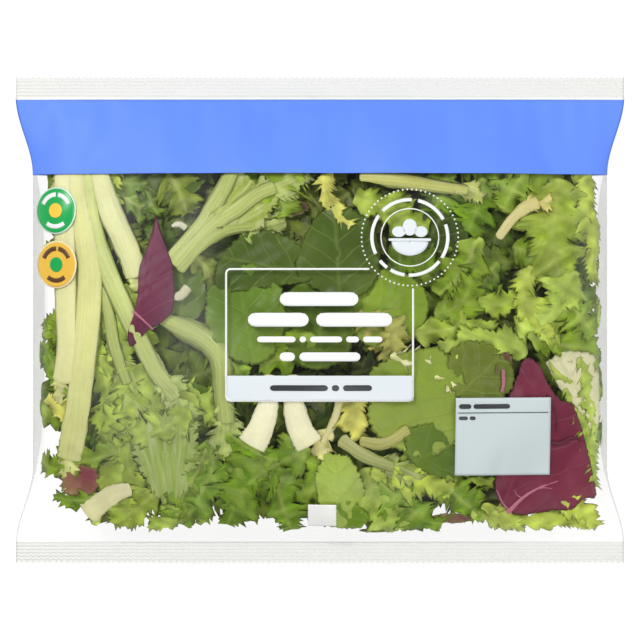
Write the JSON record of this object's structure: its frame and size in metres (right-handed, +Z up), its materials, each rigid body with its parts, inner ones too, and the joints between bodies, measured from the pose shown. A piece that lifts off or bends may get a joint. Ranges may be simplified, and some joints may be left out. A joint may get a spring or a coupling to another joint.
{
  "type": "bag of salad leaves",
  "caption": "Full pillow bag of clear film holding mixed salad leaves, with a crimped serrated seal at each end, lying on its back with the printed front up.",
  "frame": {"origin": "under the middle of the bag, on the surface it lies on", "axes": "+X across the bag from side fold to side fold, +Y along the bag towards its top seal, +Z up out of its printed front"},
  "size_m": [0.25, 0.2, 0.0592],
  "materials": {
    "clear_film": "thin clear glossy film",
    "crimped_seal": "two welded films, milky, ribbed",
    "blue_print": "opaque print under gloss",
    "pale_print": "opaque print under gloss",
    "green_leaf": "fresh moist leaf",
    "pale_rib": "fresh moist leaf rib",
    "red_leaf": "fresh moist leaf"
  },
  "bodies": {
    "root": {"salad_bag": "clear_film"}
  },
  "joints": []
}
